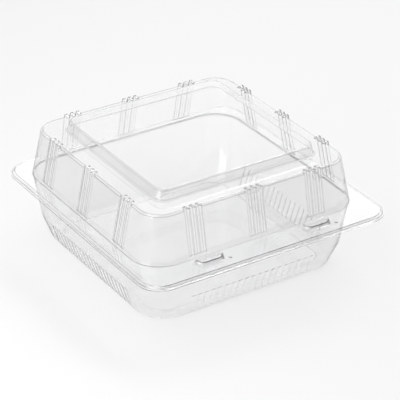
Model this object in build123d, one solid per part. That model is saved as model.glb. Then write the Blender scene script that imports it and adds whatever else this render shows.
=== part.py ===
from build123d import *
import math
import os

# Clear hinged cake box, closed.
# The front (latch side) faces -Y, the hinge runs along +Y, the box stands on z = 0.
# All sizes are in millimetres.

# Sheet and outline
SHEET = 0.5             # formed sheet, the same in base and lid
OVERLAP = 0.3           # how far a bar or nub reaches into its flange
BEYOND = 5.0            # how far profiles and cutters are carried on past the part they shape
WIDTH = 200.0           # over the base rim, left to right
DEPTH = 208.0           # over the base rim, front to hinge
RIM_CORNER = 17.5       # corner radius of the base rim
FRONT_MARGIN = 22.0     # base rim to the foot of the dome, with room for the snap bars
SIDE_MARGIN = 11.0
BACK_MARGIN = 8.0

# Flanges
PLATE_TOP = 50.0        # top face of the lid flange
PLATE_GAP = 0.1         # between the lid flange and the base flange
CREASE_IN = 2.6         # base rim to the crease line on the lid flange
LID_RIM_IN = 0.8        # lid rim stands back from the base rim
LID_RIM_DROP = 1.9      # lid rim's lower edge below the flange's top face
LID_RIM_TURN = 0.7      # height of the rim's steep lower part
LID_RIM_LEAN = 0.15     # run of that part
LIP_DROP = 0.35         # base lip below the lid rim
LIP_HEIGHT = 0.55
RIM_GAP = 0.3           # play between nested rims and bars

# Base tub. An inset is measured inward from the foot of the lid's dome.
BASE_IN = 9.1           # inset of the wall at its foot
BASE_CORNER = 22.5      # corner radius of the tub
FOOT_ROUND = 2.4        # rounding between wall and bottom
FOOT_MIDDLE = 0.7       # middle of that rounding, off the bottom and the wall's foot
BAND_Z = 17.5           # top of the fluted band
BAND_IN = 4.3
MOUTH_IN = 0.6          # inset at the flange
FLOOR_IN = 9.0          # foot ring width, the floor inside it is raised
FLOOR_RISE = 1.5
FLOOR_SLOPE = 1.5       # run of the sloped edge of the raised floor

# Flutes round the base
FLUTE_PITCH = 5.5
FLUTE_WIDTH = 3.9
FLUTE_DEPTH = 1.1
FLUTE_LOW = 2.6
FLUTE_TOP = 0.5         # below the top of the band
FLUTE_PROUD = 0.8       # the cutter stands this far out of the wall
FLUTE_END = 5.0         # plain wall between the last flute and the corner

# Lid dome
DOME_CORNER = 23.7      # corner radius at the foot, the corners up to the shelf share its centre
WALL_RISE = 35.0        # flange to the level shelf
WALL_IN = 7.4           # inset of the shoulder edge
SHOULDER_ROUND = 1.3
STEP_IN = 23.5          # inset of the raised panel's foot
STEP_ROUND = 0.7
PANEL_RISE = 7.8
PANEL_IN = 24.9         # inset of the panel's edge
PANEL_ROUND = 0.8
PANEL_CORNER = 8.2

# Stiffening ribs on the lid walls
RIBS = 3                # in a group
RIB_PITCH = 4.8
RIB_WIDTH = 4.4
RIB_CREST = 1.8         # flat on top
RIB_HEIGHT = 1.2
RIB_VALLEY = 0.1        # height left between neighbours
RIB_SINK = 0.15         # the flanks run on this far into the wall
RIB_ROOT = 3.5          # depth of the rib's body behind the wall's face, over the shelf's edge
RIB_ARCH = 1.2          # height of the arched upper end
RIB_LOW = 2.3           # lower rib end above the flange
RIB_OVER = 0.9          # upper rib end beyond the shoulder edge
GROUPS = 3              # on each side
GROUP_FROM_CORNER = 16.3  # start of the corner to the middle of the outer group

# Snap bars on the front flange
SNAP_FROM_SIDE = 56.0   # base rim to the bar's middle
SNAP_FROM_FRONT = 15.0
SNAP_LONG = 26.0        # side next to the dome
SNAP_SHORT = 17.0       # side next to the rim
SNAP_DEEP = 8.6
SNAP_HEIGHT = 2.0
SNAP_CORNER = 2.2
SNAP_DRAFT = 0.7        # the top is this much smaller all round
NUB_R = 1.6
NUB_TOP_R = 0.9
NUB_H = 0.8
NUB_SIDES = 8
NUB_X = 12.8            # from the bar's middle
NUB_Y = -4.6

# Living hinge
HINGE_R = 0.4
HINGE_DROP = 0.1        # top of the bead below the lid rim
HINGE_FROM_SIDE = 22.0

os.makedirs("parts", exist_ok=True)

half_x = WIDTH / 2
half_y = DEPTH / 2
dome_x = half_x - SIDE_MARGIN
dome_y = half_y - (FRONT_MARGIN + BACK_MARGIN) / 2
middle_y = (FRONT_MARGIN - BACK_MARGIN) / 2
shelf_z = PLATE_TOP + WALL_RISE
panel_z = shelf_z + PANEL_RISE
plate_low = PLATE_TOP - 2 * SHEET - PLATE_GAP
plate_high = plate_low + SHEET
panel_slope = PANEL_RISE / (PANEL_IN - STEP_IN)
snap_top = PLATE_TOP + SNAP_HEIGHT


def slab(inset, z, corner):
    """The tub's or dome's outline at height z."""
    return Pos(0, middle_y, z) * RectangleRounded(2 * (dome_x - inset), 2 * (dome_y - inset), corner)


def band_between(low, high):
    """The body between two levels of (inset, z, corner radius)."""
    (inset, z, corner), (end_inset, end_z, end_corner) = low, high
    lean = end_inset - inset
    if abs(lean) > 1e-6 and abs(lean - (corner - end_corner)) < 1e-6:
        return extrude(slab(*low), end_z - z, taper=math.degrees(math.atan(lean / (end_z - z))))
    return loft([slab(*low), slab(*high)], ruled=True)


def stack(levels):
    """A tub or dome through levels of (inset, z, corner radius)."""
    body = Part()
    for low, high in zip(levels, levels[1:]):
        body += band_between(low, high)
    return body


def rim(levels):
    """A flange body through levels of (inset from the base rim, z)."""
    faces = []
    for inset, z in levels:
        outline = RectangleRounded(2 * (half_x - inset), 2 * (half_y - inset), RIM_CORNER - inset)
        faces.append(Pos(0, 0, z) * outline)
    return loft(faces, ruled=True)


def inward(levels, before, after):
    """The same profile one sheet further in. before and after are points that carry the profile on."""
    line = [before] + [(inset, z) for inset, z, _ in levels] + [after]
    shifted = []
    for (i0, z0), (i1, z1) in zip(line, line[1:]):
        size = math.hypot(i1 - i0, z1 - z0)
        start = (i0 + (z1 - z0) / size * SHEET, z0 - (i1 - i0) / size * SHEET)
        shifted.append((start, (i1 - i0, z1 - z0)))
    out = []
    for ((pa, qa), (da, ea)), ((pb, qb), (db, eb)), (inset, _, corner) in zip(shifted, shifted[1:], levels):
        cross = da * eb - ea * db
        share = ((pb - pa) * eb - (qb - qa) * db) / cross if abs(cross) > 1e-9 else 1.0
        new_inset = pa + share * da
        out.append((new_inset, qa + share * ea, corner - (new_inset - inset)))
    return out


def further(before, last, extra):
    """The last level of a profile moved on along its own wall by this much height."""
    share = 1 + extra / abs(last[1] - before[1])
    return tuple(b + (a - b) * share for a, b in zip(last, before))


def prism(points, vector):
    """A straight prism on a flat outline."""
    outline = Wire.make_polygon([Vector(*p) for p in points], close=True)
    return Solid.extrude(Face(outline), Vector(*vector))


def crossed(section, side):
    """The body common to a bar with this cross section (x, z) and one with this side view (y, z)."""
    low = min(y for y, _ in side) - BEYOND
    high = max(y for y, _ in side) + BEYOND
    wide = max(abs(x) for x, _ in section) + BEYOND
    bar = prism([(x, low, z) for x, z in section], (0, high - low, 0))
    view = prism([(-wide, y, z) for y, z in side], (2 * wide, 0, 0))
    return bar & view


def wall_frame(low, high):
    """A front wall's own plane through two profile points (inset, z), and the wall's length.

    Its x runs along the wall, y up it and z outward. The foot of the dome is at y = 0 of the model.
    """
    (i0, z0), (i1, z1) = low, high
    size = math.hypot(i1 - i0, z1 - z0)
    up = Vector(0, (i1 - i0) / size, (z1 - z0) / size)
    return Plane(origin=(0, i0, z0), x_dir=(1, 0, 0), z_dir=Vector(1, 0, 0).cross(up)).location, size


def on_walls(piece, along_x, along_y):
    """Copies of a wall feature at these places on the front and back, and on the two sides."""
    front_and_back = [(turn, x, dome_y) for turn in (0, 180) for x in along_x]
    sides = [(turn, x, dome_x) for turn in (90, 270) for x in along_y]
    centre = Pos(0, middle_y, 0)
    return [
        centre * Rot(0, 0, turn) * Pos(x, -reach, 0) * piece
        for turn, x, reach in front_and_back + sides
    ]


def both_bars(piece):
    """Copies of a piece at the two snap bars."""
    x = half_x - SNAP_FROM_SIDE
    y = SNAP_FROM_FRONT - half_y
    return [Pos(-x, y, 0) * piece, Pos(x, y, 0) * piece]


def snap_outline(inset, z, corner, rounded):
    """A snap bar's outline at height z, this much inside the lid bar's foot."""
    long, short, deep = SNAP_LONG / 2, SNAP_SHORT / 2, SNAP_DEEP / 2
    sides = Polyline((-short, -deep), (short, -deep), (long, deep), (-long, deep), close=True)
    outline = offset(make_face(sides), -inset, kind=Kind.INTERSECTION)
    if rounded:
        return Pos(0, 0, z) * fillet(outline.vertices(), corner)
    sharpest = math.atan2(SNAP_DEEP, long - short)
    return Pos(0, 0, z) * chamfer(outline.vertices(), corner / math.tan(sharpest / 2))


def snap_bar(inset, low, high, rounded):
    """A snap bar with drafted sides. Its corners are round, or cut to lie inside the round ones."""
    corner = SNAP_CORNER - inset
    foot = snap_outline(inset, low, corner, rounded)
    top = snap_outline(inset + SNAP_DRAFT * (high - low) / SNAP_HEIGHT, high, corner, rounded)
    return loft([foot, top], ruled=True)


# Base: tub profile from the bottom up
tub_profile = [
    (BASE_IN + FOOT_ROUND, 0.0, BASE_CORNER),
    (BASE_IN + FOOT_MIDDLE, FOOT_MIDDLE, BASE_CORNER),
    (BASE_IN, FOOT_ROUND, BASE_CORNER),
    (BAND_IN, BAND_Z, BASE_CORNER),
    (MOUTH_IN, plate_low, BASE_CORNER),
]
wall_lean = (BAND_IN - MOUTH_IN) / (plate_low - BAND_Z)
tub_inner_profile = inward(
    tub_profile,
    (BASE_IN + FOOT_ROUND + BEYOND, 0.0),
    (MOUTH_IN - wall_lean * BEYOND, plate_low + BEYOND),
)
tub_inner_profile[-1] = further(tub_inner_profile[-2], tub_inner_profile[-1], 2 * SHEET)

floor_edge = BASE_IN + FLOOR_IN
floor_corner = BASE_CORNER - FLOOR_IN
push_up = stack([
    (floor_edge, -SHEET, floor_corner),
    (floor_edge, 0.0, floor_corner),
    (floor_edge + FLOOR_SLOPE, FLOOR_RISE, floor_corner - FLOOR_SLOPE),
])
push_up_inner = stack([
    (floor_edge - SHEET, -SHEET, floor_corner + SHEET),
    (floor_edge - SHEET, SHEET, floor_corner + SHEET),
    (floor_edge - SHEET + FLOOR_SLOPE, FLOOR_RISE + SHEET, floor_corner + SHEET - FLOOR_SLOPE),
])

# Flutes in the sloped band
band_plane, band_size = wall_frame((BASE_IN, FOOT_ROUND), (BAND_IN, BAND_Z))
up_band = band_size / (BAND_Z - FOOT_ROUND)
flute_from = (FLUTE_LOW - FOOT_ROUND) * up_band
flute_to = (BAND_Z - FLUTE_TOP - FOOT_ROUND) * up_band
flute = crossed(
    [
        (-FLUTE_WIDTH / 2 - FLUTE_PROUD, FLUTE_PROUD),
        (0, -FLUTE_DEPTH),
        (FLUTE_WIDTH / 2 + FLUTE_PROUD, FLUTE_PROUD),
    ],
    [
        (flute_from - FLUTE_PROUD, FLUTE_PROUD),
        (flute_from + FLUTE_DEPTH, -FLUTE_DEPTH),
        (flute_to - FLUTE_DEPTH, -FLUTE_DEPTH),
        (flute_to + FLUTE_PROUD, FLUTE_PROUD),
    ],
)


def flute_places(dome_half):
    """Flutes along one side, as many as its straight stretch takes."""
    straight = dome_half - BASE_IN - BASE_CORNER
    each_way = int((straight - FLUTE_END - FLUTE_WIDTH / 2) / FLUTE_PITCH)
    return [i * FLUTE_PITCH for i in range(-each_way, each_way + 1)]


flute_x = flute_places(dome_x)
flute_y = flute_places(dome_y)
flutes = on_walls(band_plane * flute, flute_x, flute_y)
flutes_inner = on_walls(band_plane * Pos(0, 0, -SHEET) * flute, flute_x, flute_y)

tub_outer = stack(tub_profile) - flutes - push_up
tub_inner = stack(tub_inner_profile) - flutes_inner - push_up_inner

# Base flange: plate, sloped rim and lip
lid_rim_z = PLATE_TOP - LID_RIM_DROP
lip_top = lid_rim_z - LIP_DROP
lip_low = lip_top - LIP_HEIGHT
base_crease = CREASE_IN + SHEET / 2 + RIM_GAP / 2
base_edge = LID_RIM_IN + SHEET + RIM_GAP
base_flange = rim([
    (base_edge, lip_top - SHEET / 2),
    (base_edge, lip_top + LIP_DROP),
    (base_crease, plate_high),
])
base_flange += rim([(0.0, lip_low), (0.0, lip_top)])
base_flange -= rim([
    (base_edge + SHEET, lip_low - SHEET),
    (base_edge + SHEET, lip_top),
    (base_crease + SHEET / 2, plate_low),
])

# The base bar nests in the lid bar. The lid bar has round corners and the base bar cut ones.
nest = SHEET + RIM_GAP
lid_bar = snap_bar(0.0, PLATE_TOP - OVERLAP, snap_top, True)
lid_bar_inner = snap_bar(SHEET, PLATE_TOP - SHEET - OVERLAP, snap_top - SHEET, True)
base_bar = snap_bar(nest, plate_high - OVERLAP, snap_top - nest, False)
base_bar_inner = snap_bar(nest + SHEET, plate_low - OVERLAP, snap_top - nest - SHEET, False)

# The hinge's bead lies along the back of the base lip
hinge_half = half_x - HINGE_FROM_SIDE
hinge_z = lid_rim_z - HINGE_DROP - HINGE_R
hinge_bead = Pos(0, half_y - HINGE_R, hinge_z) * Rot(0, 90, 0) * Cylinder(HINGE_R, 2 * hinge_half)

base = base_flange + tub_outer + both_bars(base_bar)
base -= tub_inner
base -= both_bars(base_bar_inner)
base += hinge_bead

# Lid: dome from the flange to the level shelf, then the raised panel on the shelf
lean = WALL_IN / WALL_RISE
dome_profile = [
    (inset, z, DOME_CORNER - inset)
    for inset, z in (
        (-lean * SHEET, PLATE_TOP - SHEET),
        (WALL_IN - lean * SHOULDER_ROUND, shelf_z - SHOULDER_ROUND),
        (WALL_IN + SHOULDER_ROUND, shelf_z),
    )
]
dome_inner_profile = inward(dome_profile, (-lean * BEYOND, PLATE_TOP - BEYOND), (STEP_IN, shelf_z))
dome_inner_profile[0] = further(dome_inner_profile[1], dome_inner_profile[0], 2 * SHEET)
panel_profile = [
    (STEP_IN - STEP_ROUND, shelf_z, PANEL_CORNER),
    (STEP_IN + STEP_ROUND / panel_slope, shelf_z + STEP_ROUND, PANEL_CORNER),
    (PANEL_IN - PANEL_ROUND / panel_slope, panel_z - PANEL_ROUND, PANEL_CORNER),
    (PANEL_IN + PANEL_ROUND, panel_z, PANEL_CORNER),
]
panel_inner_profile = inward(panel_profile, (WALL_IN, shelf_z), (PANEL_IN + BEYOND, panel_z))

# Ribs on the dome's walls
wall_plane, wall_size = wall_frame((0.0, PLATE_TOP), (WALL_IN, shelf_z))
rib_from = RIB_LOW / WALL_RISE * wall_size
rib_to = wall_size + RIB_OVER


def rib_group(low, high, root):
    """Ribs side by side, each with a sloped foot and an upper end cut to an arch."""
    places = [(rib - (RIBS - 1) / 2) * RIB_PITCH for rib in range(RIBS)]
    half = places[-1] + RIB_WIDTH / 2
    section = [(-half, -root), (-half, -RIB_SINK)]
    for x in places:
        if x > places[0]:
            section.append((x - RIB_PITCH / 2, RIB_VALLEY))
        section += [(x - RIB_CREST / 2, RIB_HEIGHT), (x + RIB_CREST / 2, RIB_HEIGHT)]
    section += [(half, -RIB_SINK), (half, -root)]
    side = [
        (low, -root),
        (low, 0.0),
        (low + RIB_HEIGHT, RIB_HEIGHT),
        (high, RIB_HEIGHT),
        (high, -root),
    ]
    spring = high - RIB_ARCH
    ends = [(half, low, -root), (-half, low, -root), (-half, spring, -root)]
    for x in places:
        if x > places[0]:
            ends.append((x - RIB_PITCH / 2, spring, -root))
        ends += [(x - RIB_CREST / 2, high, -root), (x + RIB_CREST / 2, high, -root)]
    ends.append((half, spring, -root))
    return crossed(section, side) & prism(ends, (0, 0, root + RIB_HEIGHT))


def group_places(dome_half):
    """The middles of the rib groups along one side."""
    reach = dome_half - DOME_CORNER - GROUP_FROM_CORNER
    return [reach * (2 * group / (GROUPS - 1) - 1) for group in range(GROUPS)]


group_x = group_places(dome_x)
group_y = group_places(dome_y)
rib_inner = Pos(0, 0, -SHEET) * rib_group(rib_from, rib_to - SHEET, RIB_ROOT - 2 * SHEET)
ribs = on_walls(wall_plane * rib_group(rib_from, rib_to, RIB_ROOT), group_x, group_y)
ribs_inner = on_walls(wall_plane * rib_inner, group_x, group_y)

lid_flange = rim([
    (LID_RIM_IN, lid_rim_z),
    (LID_RIM_IN + LID_RIM_LEAN, lid_rim_z + LID_RIM_TURN),
    (CREASE_IN, PLATE_TOP),
])
lid_under = rim([
    (LID_RIM_IN + SHEET, lid_rim_z - SHEET),
    (LID_RIM_IN + SHEET + LID_RIM_LEAN, lid_rim_z + LID_RIM_TURN - SHEET / 2),
    (CREASE_IN + SHEET / 2, PLATE_TOP - SHEET),
])
nub_foot = Pos(NUB_X, NUB_Y, PLATE_TOP - OVERLAP) * RegularPolygon(NUB_R, NUB_SIDES)
nub_head = Pos(NUB_X, NUB_Y, PLATE_TOP + NUB_H) * RegularPolygon(NUB_TOP_R, NUB_SIDES)
nub = loft([nub_foot, nub_head], ruled=True)

lid = lid_flange + stack(dome_profile) + stack(panel_profile) + ribs + both_bars(lid_bar)
lid += both_bars(nub)
hollow = stack(dome_inner_profile) + stack(panel_inner_profile) + ribs_inner
lid -= lid_under + hollow + both_bars(lid_bar_inner)

for name, shape in (("base", base), ("lid", lid)):
    export_step(shape, f"parts/{name}.step")
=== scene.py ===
import math

import bpy
from mathutils import Matrix, Vector

# Lengths are in metres and angles in degrees.

# Camera, fitted to the box's edges in the photograph
CAMERA_AZIMUTH = -33.03
CAMERA_ELEVATION = 28.98
CAMERA_ROLL = 0.34
CAMERA_DISTANCE = 1.34758
CAMERA_RIGHT = 0.00443          # the aim point, measured across and up in the picture
CAMERA_UP = 0.04154
CAMERA_CLIP = 0.05
SENSOR_WIDTH = 36.0             # millimetres
FOCAL_PIXELS = 1848.6
PICTURE_PIXELS = 400
CENTRE_ROW = 191.5              # picture row of the lens axis

# Clear sheet
SHEET_FLAT = (0.985, 0.987, 0.988, 1.0)     # level parts
SHEET_WALL_SHADE = (0.908, 0.911, 0.911, 1.0)     # painted shade on the drawn walls, which makes them a little darker
SHEET_GLANCE_AND_SHADE = (0.45, 0.455, 0.455, 1.0)    # looked at along the sheet: darker through more of it, and painted shade for dark edge lines
SHEET_EDGE_SHADE = (0.78, 0.783, 0.783, 1.0)      # painted shade on the hard edges of ribs and steps
SHEET_SHADOW = (0.969, 0.969, 0.969, 1.0)   # what light keeps on its way to the floor
SHEET_IOR = 1.52
GLANCE_FROM = 0.62              # the sheet darkens from here, where 0 faces the eye and 1 is edge on
WAVE_SIZE = 45.0                # soft waves in the formed sheet, per metre
WAVE_HEIGHT = 0.00005

# Haze
HAZE_SIZE = 18.0                # cloudy patches, per metre
HAZE_DETAIL = 4.0
HAZE_NOISE = (0.35, 0.7)        # this part of the noise
HAZE_ROUGH = (0.02, 0.07)       # becomes this roughness
HAZE_TINT = 0.2                 # how far the patches shift the tint between the flat colour and the painted wall shade
FLUTE_HAZE = 0.06               # extra roughness of the deep drawn, fluted band
HAZE_FADE = 0.004               # height in which it fades out

# Edges
WELD_GAP = 2e-6
EDGE_ROUNDING = 0.0004
EDGE_STEPS = 2
HARD_ANGLE = 24.0               # edges sharper than this are rounded
SMOOTH_ANGLE = 40.0             # edges sharper than this stay crisp
FLUTE_ANGLE = 120.0             # the same for the flutes at the front and back
FLUTE_ZONE = (0.0022, 0.0178)   # heights of the base's flutes
RIM_ZONE = (0.043, 0.0555)      # heights between which the sheets' rims and snap bars lie
BAR_ZONE = (-0.1, -0.082)       # the snap bars' strip of the front flange, front to back
HINGE_ZONE = 0.1                # from here back lies the living hinge
SIDE_WALL = 0.07                # from the middle, past the ends of the front flutes
RIM_SHARE = 0.12                # of the full rounding, on the thin rims
BASE_SHARE = 0.04               # of the full rounding, on the flutes at the sides
FLAT_WEIGHT = 90                # how strongly large faces stay flat

# Studio
FLOOR_SIDE = 6.0
FLOOR_COLOUR = (0.86, 0.86, 0.86, 1.0)
FLOOR_GLOW = 0.05               # lifts the floor to white where it is seen, and keeps the shadow
WHITE = (1.0, 1.0, 1.0, 1.0)
ROOM_BACK = 1.18                # light wall behind the box, seen in its level parts
ROOM_FRONT = 0.2                # darker room at the front
ROOM_FADE = (-0.3, 0.6)         # from front to back, where the one turns into the other

# Lamps, each with its place, target, width, height and power in watts
LAMPS = {
    "softbox_right": ((0.72, 0.35, 1.2), (0, 0, 0.09), 1.2, 0.24, 5.8),
    "softbox_left": ((-0.75, -0.15, 1.25), (-0.15, -0.15, 0), 1.0, 0.8, 5.2),
    "softbox_low": ((-0.78, -0.24, 0.25), (0, 0, 0.05), 0.45, 0.5, 2.0),
}


class Tree:
    """Adds nodes to a node tree. An input is a number, a colour or another node's output."""

    def __init__(self, tree):
        self.tree = tree

    def add(self, kind, inputs=None, **settings):
        node = self.tree.nodes.new(kind)
        for name, value in settings.items():
            setattr(node, name, value)
        for key, value in (inputs or {}).items():
            if isinstance(value, bpy.types.NodeSocket):
                self.tree.links.new(value, node.inputs[key])
            else:
                node.inputs[key].default_value = value
        return node.outputs

    def calc(self, operation, *values, clamp=False):
        """The result of one Math node."""
        inputs = dict(enumerate(values))
        return self.add("ShaderNodeMath", inputs, operation=operation, use_clamp=clamp)["Value"]

    def within(self, value, zone):
        """1 where the value lies in the zone."""
        return self.calc("COMPARE", value, sum(zone) / 2, (zone[1] - zone[0]) / 2)

    def ramp(self, value, start, end, low=0.0, high=1.0, kind="SMOOTHSTEP"):
        inputs = {
            "Value": value,
            "From Min": start,
            "From Max": end,
            "To Min": low,
            "To Max": high,
        }
        return self.add("ShaderNodeMapRange", inputs, interpolation_type=kind)["Result"]

    def blend(self, share, first, second):
        """A colour between two."""
        inputs = {"Factor": share, "A": first, "B": second}
        return self.add("ShaderNodeMix", inputs, data_type="RGBA")["Result"]


def new_material(name):
    material = bpy.data.materials.new(name)
    material.use_nodes = True
    material.node_tree.nodes.clear()
    return material, Tree(material.node_tree)


def clear_sheet(name, level_colour, wall_shade_colour):
    """Clear formed sheet: faint waves, patchy haze, painted shade on the walls, darkening along the
    sheet that is partly painted shade, and light that passes straight to the floor.
    """
    material, tree = new_material(name)
    place = tree.add("ShaderNodeTexCoord")
    height = tree.add("ShaderNodeSeparateXYZ", {"Vector": place["Object"]})["Z"]
    facing_up = tree.add("ShaderNodeSeparateXYZ", {"Vector": place["Normal"]})["Z"]
    level = tree.calc("ABSOLUTE", facing_up)

    inputs = {"Vector": place["Object"], "Scale": WAVE_SIZE, "Detail": 1.0}
    waves = tree.add("ShaderNodeTexNoise", inputs)["Fac"]
    inputs = {"Strength": 1.0, "Distance": WAVE_HEIGHT, "Height": waves}
    wavy = tree.add("ShaderNodeBump", inputs)["Normal"]

    inputs = {"Vector": place["Object"], "Scale": HAZE_SIZE, "Detail": HAZE_DETAIL}
    haze = tree.add("ShaderNodeTexNoise", inputs)["Fac"]
    rough = tree.ramp(haze, *HAZE_NOISE, *HAZE_ROUGH, kind="LINEAR")
    flute_top = FLUTE_ZONE[1]
    fluted = tree.ramp(height, flute_top, flute_top - HAZE_FADE, 0.0, FLUTE_HAZE)
    upright = tree.calc("SUBTRACT", 1.0, level)
    rough = tree.calc("MULTIPLY_ADD", fluted, upright, rough)

    # Upright walls take the painted wall shade and level parts the flat tint; the haze patches shift
    # the mix at random.
    patches = tree.calc("MULTIPLY_ADD", haze, HAZE_TINT, -HAZE_TINT / 2)
    share = tree.calc("ADD", level, patches, clamp=True)
    tint = tree.blend(share, wall_shade_colour, level_colour)
    # Glancing views darken: partly the longer way through the sheet, partly painted shade that draws
    # dark edge lines.
    glance = tree.add("ShaderNodeLayerWeight", {"Blend": 0.5})["Facing"]
    colour = tree.blend(tree.ramp(glance, GLANCE_FROM, 1.0), tint, SHEET_GLANCE_AND_SHADE)

    inputs = {
        "Base Color": colour,
        "Roughness": rough,
        "IOR": SHEET_IOR,
        "Transmission Weight": 1.0,
        "Normal": wavy,
    }
    plastic = tree.add("ShaderNodeBsdfPrincipled", inputs)["BSDF"]
    through = tree.add("ShaderNodeBsdfTransparent", {"Color": SHEET_SHADOW})["BSDF"]
    path = tree.add("ShaderNodeLightPath")
    straight = tree.calc("MAXIMUM", path["Is Shadow Ray"], path["Is Diffuse Ray"])
    surface = tree.add("ShaderNodeMixShader", {0: straight, 1: plastic, 2: through})["Shader"]
    tree.add("ShaderNodeOutputMaterial", {"Surface": surface})
    return material


def floor_material():
    """Pale paper with a faint glow for rays that reach the eye: straight, mirrored or bent."""
    material, tree = new_material("studio_floor")
    paper = tree.add("ShaderNodeBsdfDiffuse", {"Color": FLOOR_COLOUR})["BSDF"]
    path = tree.add("ShaderNodeLightPath")
    seen = tree.calc("MAXIMUM", path["Is Camera Ray"], path["Is Transmission Ray"])
    seen = tree.calc("MAXIMUM", seen, path["Is Glossy Ray"])
    inputs = {"Color": WHITE, "Strength": tree.calc("MULTIPLY", seen, FLOOR_GLOW)}
    glow = tree.add("ShaderNodeEmission", inputs)["Emission"]
    surface = tree.add("ShaderNodeAddShader", {0: paper, 1: glow})["Shader"]
    tree.add("ShaderNodeOutputMaterial", {"Surface": surface})
    return material


def modifier_group(name):
    """An empty node group for a modifier, with the mesh that goes in."""
    group = bpy.data.node_groups.new(name, "GeometryNodeTree")
    for way in ("INPUT", "OUTPUT"):
        group.interface.new_socket("Geometry", in_out=way, socket_type="NodeSocketGeometry")
    tree = Tree(group)
    return group, tree, tree.add("NodeGroupInput")["Geometry"]


def edge_facts(tree):
    """Each edge's place (x as a distance from the middle, y and z) and its angle."""
    position = tree.add("GeometryNodeInputPosition")["Position"]
    place = tree.add("ShaderNodeSeparateXYZ", {"Vector": position})
    angle = tree.add("GeometryNodeInputMeshEdgeAngle")["Unsigned Angle"]
    return tree.calc("ABSOLUTE", place["X"]), place["Y"], place["Z"], angle


def edge_widths():
    """Stores how much each hard edge is rounded: in full above the rims, less at and below them."""
    group, tree, mesh = modifier_group("edge_widths")
    x, y, z, angle = edge_facts(tree)
    above = tree.calc("GREATER_THAN", z, RIM_ZONE[1])
    spared = tree.calc("MAXIMUM", tree.within(y, BAR_ZONE), tree.calc("GREATER_THAN", y, HINGE_ZONE))
    rim = tree.calc("SUBTRACT", tree.within(z, RIM_ZONE), spared, clamp=True)
    below = tree.calc("LESS_THAN", z, RIM_ZONE[0])
    side = tree.calc("MULTIPLY", below, tree.calc("GREATER_THAN", x, SIDE_WALL))
    share = tree.calc("MULTIPLY_ADD", rim, RIM_SHARE, above)
    share = tree.calc("MULTIPLY_ADD", side, BASE_SHARE, share)
    hard = tree.calc("GREATER_THAN", angle, math.radians(HARD_ANGLE))
    inputs = {
        "Geometry": mesh,
        "Name": "bevel_weight_edge",
        "Value": tree.calc("MULTIPLY", hard, share),
    }
    settings = {"data_type": "FLOAT", "domain": "EDGE"}
    stored = tree.add("GeometryNodeStoreNamedAttribute", inputs, **settings)["Geometry"]
    tree.add("NodeGroupOutput", {"Geometry": stored})
    return group


def smooth_shading():
    """Shades smooth across soft edges, and across the flutes at the front and back."""
    group, tree, mesh = modifier_group("smooth_shading")
    x, _, z, angle = edge_facts(tree)
    inside = tree.calc("LESS_THAN", x, SIDE_WALL)
    soft = tree.calc("MULTIPLY", tree.within(z, FLUTE_ZONE), inside)
    extra = math.radians(FLUTE_ANGLE - SMOOTH_ANGLE)
    allowed = tree.calc("MULTIPLY_ADD", soft, extra, math.radians(SMOOTH_ANGLE))
    inputs = {"A": angle, "B": allowed}
    settings = {"data_type": "FLOAT", "operation": "GREATER_THAN"}
    crisp = tree.add("FunctionNodeCompare", inputs, **settings)["Result"]
    inputs = {"Geometry": mesh, "Distance": WELD_GAP}
    mesh = tree.add("GeometryNodeMergeByDistance", inputs)["Geometry"]
    mesh = tree.add("GeometryNodeSetShadeSmooth", {"Geometry": mesh}, domain="FACE")["Geometry"]
    inputs = {"Geometry": mesh, "Selection": crisp, "Shade Smooth": False}
    mesh = tree.add("GeometryNodeSetShadeSmooth", inputs, domain="EDGE")["Geometry"]
    tree.add("NodeGroupOutput", {"Geometry": mesh})
    return group


def dress(node, sheets, widths, shading):
    """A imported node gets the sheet's materials, rounded edges and soft shading."""
    mesh = node.data
    mesh.materials.clear()
    for sheet in sheets:
        mesh.materials.append(sheet)
    if "custom_normal" in mesh.attributes:
        mesh.attributes.remove(mesh.attributes["custom_normal"])
    weld = node.modifiers.new("weld", "WELD")
    weld.merge_threshold = WELD_GAP
    node.modifiers.new("edge_widths", "NODES").node_group = widths
    bevel = node.modifiers.new("rounding", "BEVEL")
    bevel.width = EDGE_ROUNDING
    bevel.segments = EDGE_STEPS
    bevel.limit_method = "WEIGHT"
    bevel.use_clamp_overlap = False
    # The rounded faces take the last sheet, with its painted edge shade.
    bevel.material = len(sheets) - 1
    node.modifiers.new("smooth", "NODES").node_group = shading
    flat = node.modifiers.new("flat_faces_stay_flat", "WEIGHTED_NORMAL")
    flat.mode = "FACE_AREA"
    flat.weight = FLAT_WEIGHT
    flat.keep_sharp = True


def floor():
    bpy.ops.mesh.primitive_plane_add(size=FLOOR_SIDE, location=(0, 0, 0))
    plane = bpy.context.object
    plane.name = "studio_floor"
    plane.data.materials.append(floor_material())


def area_light(name, place, target, width, height, power):
    data = bpy.data.lights.new(name, "AREA")
    data.shape = "RECTANGLE"
    data.size = width
    data.size_y = height
    data.energy = power
    lamp = bpy.data.objects.new(name, data)
    bpy.context.scene.collection.objects.link(lamp)
    lamp.visible_camera = False
    lamp.location = place
    lamp.rotation_mode = "QUATERNION"
    lamp.rotation_quaternion = (Vector(target) - Vector(place)).to_track_quat("-Z", "Y")


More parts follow.
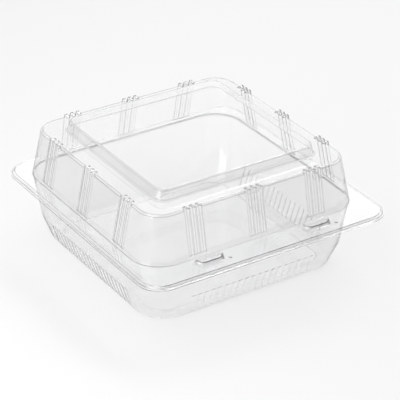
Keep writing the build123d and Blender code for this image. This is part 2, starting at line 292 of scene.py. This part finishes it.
def room():
    """White behind the floor. Mirrored and bent rays meet a room that is light at the back."""
    world = bpy.data.worlds.new("studio")
    bpy.context.scene.world = world
    world.use_nodes = True
    world.node_tree.nodes.clear()
    tree = Tree(world.node_tree)
    azimuth = math.radians(CAMERA_AZIMUTH)
    back = (-math.sin(azimuth), math.cos(azimuth), 0)
    place = tree.add("ShaderNodeTexCoord")["Generated"]
    settings = {"operation": "DOT_PRODUCT"}
    behind = tree.add("ShaderNodeVectorMath", {0: place, 1: back}, **settings)["Value"]
    strength = tree.ramp(behind, *ROOM_FADE, ROOM_FRONT, ROOM_BACK)
    inputs = {"Color": WHITE, "Strength": strength}
    studio = tree.add("ShaderNodeBackground", inputs)["Background"]
    white = tree.add("ShaderNodeBackground", {"Color": WHITE})["Background"]
    seen = tree.add("ShaderNodeLightPath")["Is Camera Ray"]
    surface = tree.add("ShaderNodeMixShader", {0: seen, 1: studio, 2: white})["Shader"]
    tree.add("ShaderNodeOutputWorld", {"Surface": surface})


def camera():
    azimuth, elevation = math.radians(CAMERA_AZIMUTH), math.radians(CAMERA_ELEVATION)
    back = Vector((
        math.sin(azimuth) * math.cos(elevation),
        -math.cos(azimuth) * math.cos(elevation),
        math.sin(elevation),
    ))
    level = Vector((math.cos(azimuth), math.sin(azimuth), 0))
    upright = back.cross(level)
    roll = math.radians(CAMERA_ROLL)
    right = math.cos(roll) * level + math.sin(roll) * upright
    up = math.cos(roll) * upright - math.sin(roll) * level
    data = bpy.data.cameras.new("camera")
    data.sensor_width = SENSOR_WIDTH
    data.lens = FOCAL_PIXELS * SENSOR_WIDTH / PICTURE_PIXELS
    data.shift_y = (CENTRE_ROW - PICTURE_PIXELS / 2) / PICTURE_PIXELS
    data.clip_start = CAMERA_CLIP
    eye = bpy.data.objects.new("camera", data)
    bpy.context.scene.collection.objects.link(eye)
    turn = Matrix((right, up, back)).transposed()
    spot = back * CAMERA_DISTANCE + right * CAMERA_RIGHT + up * CAMERA_UP
    eye.matrix_world = Matrix.Translation(spot) @ turn.to_4x4()
    bpy.context.scene.camera = eye


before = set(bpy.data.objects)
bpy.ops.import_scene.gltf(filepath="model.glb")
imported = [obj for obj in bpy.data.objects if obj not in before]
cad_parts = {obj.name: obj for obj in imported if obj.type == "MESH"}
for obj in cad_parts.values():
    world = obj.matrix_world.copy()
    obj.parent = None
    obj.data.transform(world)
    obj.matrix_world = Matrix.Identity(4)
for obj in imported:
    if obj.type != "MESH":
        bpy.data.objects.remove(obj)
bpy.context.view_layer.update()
bpy.context.scene.view_settings.view_transform = "Standard"

sheets = [
    clear_sheet("clear_sheet", SHEET_FLAT, SHEET_WALL_SHADE),
    # The rounded edges get a darker sheet: painted shade along ribs and steps.
    clear_sheet("clear_sheet_shaded_edge", SHEET_EDGE_SHADE, SHEET_EDGE_SHADE),
]
widths = edge_widths()
shading = smooth_shading()
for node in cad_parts.values():
    dress(node, sheets, widths, shading)

floor()
room()
for name, lamp in LAMPS.items():
    area_light(name, *lamp)
camera()
